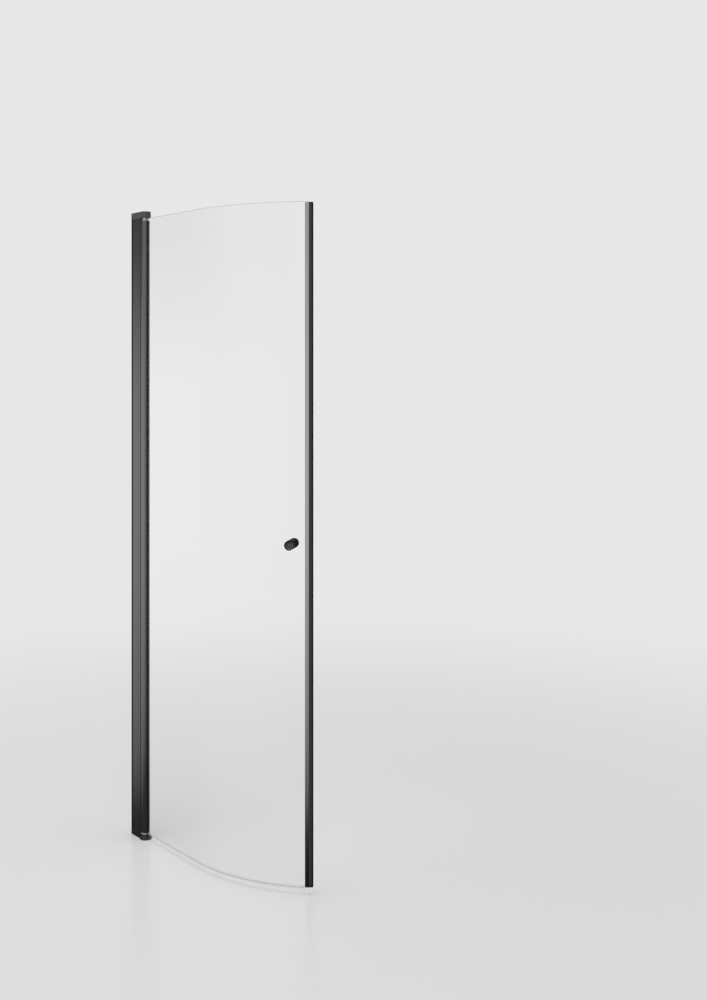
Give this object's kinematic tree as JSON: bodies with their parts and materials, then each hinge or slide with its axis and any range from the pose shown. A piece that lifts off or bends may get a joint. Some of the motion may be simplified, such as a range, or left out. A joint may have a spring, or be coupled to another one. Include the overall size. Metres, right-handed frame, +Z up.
{
  "type": "shower door",
  "caption": "Curved clear-glass shower door leaf on a black wall profile, pivoting on pins between hinge caps, with a magnetic closing edge, knob pair and floor seal.",
  "frame": {"origin": "point where the hinge axis meets the floor, on the underside of the lower hinge cap", "axes": "+Z up along the hinge axis, -X towards the wall the door is fixed to, +Y into the shower"},
  "size_m": [0.7405, 0.1775, 1.998],
  "materials": {
    "black_profile": "satin",
    "black_cast": "satin",
    "black_knob": "satin",
    "closing_metal": "satin",
    "pin_steel": "satin",
    "screw_steel": "satin",
    "bush_acetal": "satin",
    "gasket_rubber": "matte",
    "strip_pvc": "matte",
    "magnet_ferrite": "matte",
    "seal_pvc": "gloss",
    "clear_glass": "polished",
    "nylon": "satin"
  },
  "bodies": {
    "wall_channel": {"wall_channel": "black_profile"},
    "hinge_frame": {"hinge_post": "black_profile", "top_cap": "black_cast", "bottom_cap": "black_cast", "pivot_pins": "pin_steel", "cap_screws": "screw_steel", "clamp_screws": "screw_steel", "clamp_nuts": "screw_steel"},
    "door": {"hinge_tube": "black_profile", "hinge_bushes": "bush_acetal", "hinge_gasket": "gasket_rubber", "glass_panel": "clear_glass", "bottom_seal": "seal_pvc", "closing_profile": "closing_metal", "closing_gasket": "gasket_rubber", "magnet_strip": "strip_pvc", "magnet_core": "magnet_ferrite", "closing_cap_top": "strip_pvc", "closing_cap_bottom": "strip_pvc", "outer_knob": "black_knob", "inner_knob": "black_knob", "knob_stud": "screw_steel", "knob_sleeve": "nylon", "knob_grub_screw": "screw_steel", "knob_washers": "gasket_rubber"}
  },
  "joints": [
    {"name": "profile_adjust", "type": "slide", "parent": "wall_channel", "child": "hinge_frame", "axis": [1, 0, 0], "range_m": [0, 0.015]},
    {"name": "door_swing", "type": "hinge", "parent": "hinge_frame", "child": "door", "pos_m": [0, 0, 0], "axis": [0, 0, 1], "range_deg": [-90, 75]}
  ]
}
